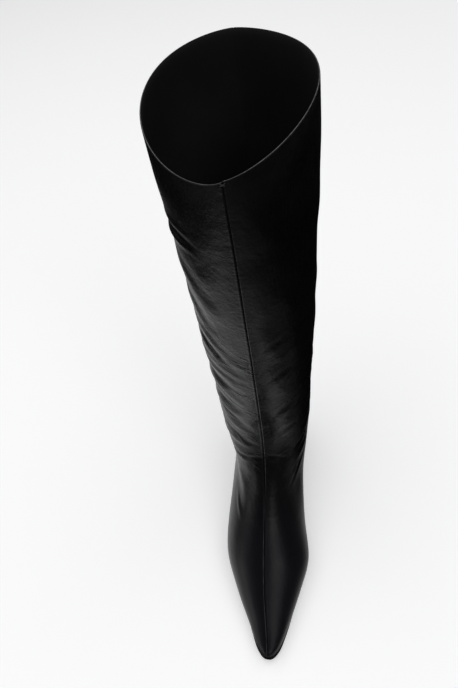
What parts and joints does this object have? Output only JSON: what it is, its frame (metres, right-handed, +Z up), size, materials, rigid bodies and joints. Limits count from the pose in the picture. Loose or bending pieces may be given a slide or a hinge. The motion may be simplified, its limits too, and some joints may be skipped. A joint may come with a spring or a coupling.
{
  "type": "knee-high boot",
  "caption": "Right knee-high pull-on boot with a pointed toe, a front seam from collar to toe, a dipped collar and a low slim heel, open inside from collar to toe.",
  "frame": {"origin": "on the floor, in the middle of the boot's length and width", "axes": "+Z up the shaft, the toe towards -Y, the inner side of the foot towards +X"},
  "size_m": [0.1108, 0.2934, 0.4502],
  "materials": {
    "upper_leather": "smooth black nappa with a soft sheen",
    "insole_lining": "matt black lining leather",
    "sole_leather": "black painted edge, satin",
    "heel_cover": "covered in the upper's leather",
    "lift_rubber": "matt black rubber"
  },
  "bodies": {
    "root": {"upper": "upper_leather", "insole": "insole_lining", "outsole": "sole_leather", "heel": "heel_cover", "top_lift": "lift_rubber"}
  },
  "joints": []
}
